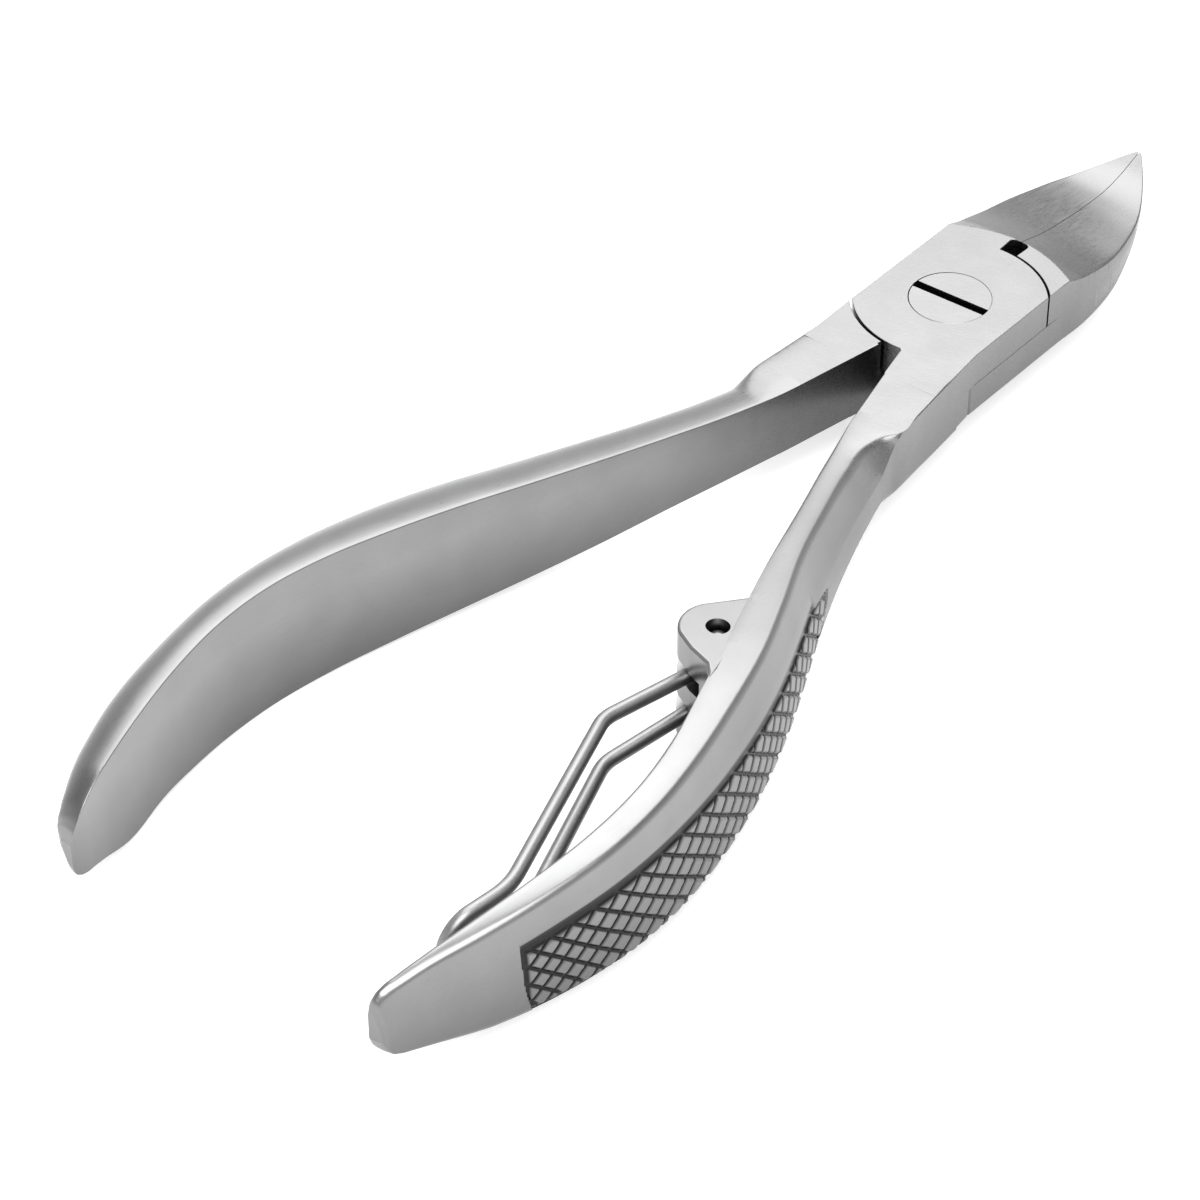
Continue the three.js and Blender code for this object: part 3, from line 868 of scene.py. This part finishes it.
def steel(name, base, rough, brush_at, bump, painted_shade_below=None, forged=False):
    """Satin steel. Fine brush lines run at the angle brush_at, and the walls have painted
    shade that darkens them towards the bottom. On a forged half the lines turn along the
    handles and are fainter there, the far handle's walls have painted shade of their own,
    the near handle has a painted highlight towards its end, the hollow of the jaws has
    painted shade that fades out near the tip, the grip's grooves are filled with black,
    and the border round the grip has painted shade in the same black. Below a given
    height the colour has painted shade. Places are in metres."""
    material = bpy.data.materials.new(name)
    material.use_nodes = True
    tree = material.node_tree
    shader = tree.nodes["Principled BSDF"]
    shader.inputs["Metallic"].default_value = 1.0

    def link(source, target):
        tree.links.new(source, target)

    def span(source, low, high, to_low, to_high):
        node = tree.nodes.new("ShaderNodeMapRange")
        ends = zip(("From Min", "From Max", "To Min", "To Max"), (low, high, to_low, to_high))
        for key, value in ends:
            node.inputs[key].default_value = value
        link(source, node.inputs["Value"])
        return node.outputs["Result"]

    def math_node(kind, *sources):
        node = tree.nodes.new("ShaderNodeMath")
        node.operation = kind
        for source, socket in zip(sources, node.inputs):
            link(source, socket)
        return node.outputs["Value"]

    def product(a, b):
        return math_node("MULTIPLY", a, b)

    def one_minus(source):
        node = tree.nodes.new("ShaderNodeMath")
        node.operation = "SUBTRACT"
        node.inputs[0].default_value = 1.0
        link(source, node.inputs[1])
        return node.outputs["Value"]

    def mix(share, a, b):
        node = tree.nodes.new("ShaderNodeMix")
        link(share, node.inputs[0])
        link(a, node.inputs[2])
        link(b, node.inputs[3])
        return node.outputs[0]

    def parts_of(output):
        node = tree.nodes.new("ShaderNodeSeparateXYZ")
        link(where.outputs[output], node.inputs[0])
        return node.outputs

    def noise(angle, stretch, detail):
        turn = tree.nodes.new("ShaderNodeMapping")
        turn.vector_type = "TEXTURE"
        turn.inputs["Rotation"].default_value = (0, 0, angle)
        turn.inputs["Scale"].default_value = stretch
        link(where.outputs["Object"], turn.inputs["Vector"])
        node = tree.nodes.new("ShaderNodeTexNoise")
        node.inputs["Scale"].default_value = 1.0
        node.inputs["Detail"].default_value = detail
        link(turn.outputs["Vector"], node.inputs["Vector"])
        return node.outputs["Fac"]

    where = tree.nodes.new("ShaderNodeTexCoord")
    x, y, z = parts_of("Object")
    facing_up = parts_of("Normal")["Z"]
    brush = noise(brush_at, BRUSH, 2.0)
    if forged:
        in_hollow = product(span(z, 0.00668, 0.00662, 0, 1), span(facing_up, 0.5, 0.7, 0, 1))
        in_hollow = product(in_hollow, span(y, 0.007, 0.0075, 0, 1))
        turned_brush = math_node("MAXIMUM", span(y, -0.021, -0.023, 0, 1), in_hollow)
        brush = mix(turned_brush, brush, noise(math.radians(84), BRUSH, 2.0))
        brush = mix(span(y, -0.021, -0.026, 0, 1), brush, span(brush, 0, 1, 0.32, 0.68))
    mottle = noise(0.0, MOTTLE, 4.0)

    link(span(brush, 0.3, 0.7, rough - 0.06, rough + 0.07), shader.inputs["Roughness"])
    tone = product(span(brush, 0.3, 0.7, base * 0.92, base * 1.08),
                   span(mottle, 0.3, 0.7, 0.96, 1.04))
    # painted shade: upright walls are darker towards the bottom
    upright = span(product(facing_up, facing_up), 0.15, 0.75, 1, 0)
    low = span(z, 0.010, -0.003, 0.2, 0.62)
    if forged:
        # painted shade on the far handle's walls, deeper and reaching higher up
        on_far_handle = span(x, -0.002, -0.006, 0, 1)
        low = mix(on_far_handle, low, span(z, 0.006, -0.0025, 0.09, 0.55))
        # painted highlight: the near handle is lighter towards its end
        painted_sheen = product(span(y, -0.045, -0.07, 0.0, 0.17), span(x, 0.0, 0.004, 0, 1))
        tone = math_node("MULTIPLY_ADD", tone, painted_sheen, tone)
    tone = product(tone, one_minus(product(upright, low)))
    # painted shade below a given height: in the screw's slot and round its head in the bore
    if painted_shade_below is not None:
        tone = product(tone, span(z, painted_shade_below, painted_shade_below + 0.0002, 0.28, 1))
    if forged:
        # painted shade in the hollow of the jaws, fading out near the tip
        painted_hollow_shade = product(in_hollow, span(y, 0.0225, 0.0262, 0.26, 0.0))
        tone = product(tone, one_minus(painted_hollow_shade))
    colour = tree.nodes.new("ShaderNodeCombineColor")
    for channel in colour.inputs:
        link(tone, channel)
    if forged:
        # black in the grooves; along the grip's border the same black is painted shade
        depth = tree.nodes.new("ShaderNodeAttribute")
        depth.attribute_name = "groove"
        fill = tree.nodes.new("ShaderNodeMix")
        fill.data_type = "RGBA"
        link(span(depth.outputs["Fac"], 0.1, 0.5, 0, 1), fill.inputs[0])
        link(colour.outputs["Color"], fill.inputs[6])
        fill.inputs[7].default_value = GROOVE_FILL_AND_BORDER_SHADE
        link(fill.outputs[2], shader.inputs["Base Color"])
    else:
        link(colour.outputs["Color"], shader.inputs["Base Color"])

    dents = tree.nodes.new("ShaderNodeBump")
    dents.inputs["Strength"].default_value = bump
    if forged:
        link(span(y, -0.020, -0.028, bump, bump * 0.3), dents.inputs["Strength"])
    dents.inputs["Distance"].default_value = 0.000004
    link(brush, dents.inputs["Height"])
    link(dents.outputs["Normal"], shader.inputs["Normal"])
    return material


body_steel = steel("brushed_steel", 0.315, 0.3, math.radians(14), 0.4, forged=True)
# the screw has painted shade below 6.4 mm
screw_steel = steel("screw_steel", 0.325, 0.3, math.radians(30), 0.4, painted_shade_below=0.0064)
pin_steel = steel("pin_steel", 0.4, 0.35, 0.0, 0.2)
wire_steel = steel("wire_steel", 0.42, 0.42, 0.0, 0.2)
painted = ((upper, body_steel), (lower, body_steel), (screw, screw_steel),
           (pin, pin_steel), (wire, wire_steel))
for obj, material in painted:
    obj.data.materials.clear()
    obj.data.materials.append(material)


# ---- floor and light ----
def plane(name, width, z):
    half = width / 2
    corners = [(-half, -half, z), (half, -half, z), (half, half, z), (-half, half, z)]
    mesh = bpy.data.meshes.new(name)
    mesh.from_pydata(corners, [], [(0, 1, 2, 3)])
    obj = bpy.data.objects.new(name, mesh)
    bpy.context.scene.collection.objects.link(obj)
    return obj


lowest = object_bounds()[0].z
floor = plane("floor", 6.0, lowest - 0.0001)
paper = bpy.data.materials.new("floor_paper")
paper.use_nodes = True
paper_shader = paper.node_tree.nodes["Principled BSDF"]
paper_shader.inputs["Base Color"].default_value = (0.8, 0.8, 0.8, 1)
paper_shader.inputs["Roughness"].default_value = 0.9
paper_shader.inputs["Specular IOR Level"].default_value = 0.0
paper_shader.inputs["Emission Color"].default_value = (1, 1, 1, 1)
paper_shader.inputs["Emission Strength"].default_value = 0.5
floor.data.materials.append(paper)


def softbox(name, towards, distance, size, power, target=(0, -0.03, 0)):
    light = bpy.data.lights.new(name, "AREA")
    light.shape = "RECTANGLE"
    light.size, light.size_y = size
    light.energy = power
    obj = bpy.data.objects.new(name, light)
    bpy.context.scene.collection.objects.link(obj)
    direction = Vector(towards).normalized()
    obj.location = Vector(target) + direction * distance
    obj.rotation_euler = direction.to_track_quat("Z", "Y").to_euler()
    return obj


softbox("far_softbox", (-0.40, 0.50, 0.88), 1.2, (0.9, 0.9), 7.2)
softbox("overhead", (0.35, -0.28, 1.0), 1.2, (1.0, 1.0), 12)

world = bpy.data.worlds.new("studio")
bpy.context.scene.world = world
world.use_nodes = True
sky = world.node_tree
towards_sky = sky.nodes.new("ShaderNodeTexCoord")
sky_height = sky.nodes.new("ShaderNodeSeparateXYZ")
shade = sky.nodes.new("ShaderNodeValToRGB")
shade.color_ramp.elements[0].position = 0.1
shade.color_ramp.elements[0].color = (1, 1, 1, 1)
shade.color_ramp.elements[1].position = 0.8
shade.color_ramp.elements[1].color = (0.22, 0.22, 0.23, 1)
sky.links.new(towards_sky.outputs["Generated"], sky_height.inputs[0])
sky.links.new(sky_height.outputs["Z"], shade.inputs["Fac"])
sky.links.new(shade.outputs["Color"], sky.nodes["Background"].inputs["Color"])
sky.nodes["Background"].inputs["Strength"].default_value = 1.05
bpy.context.scene.view_settings.view_transform = "Standard"
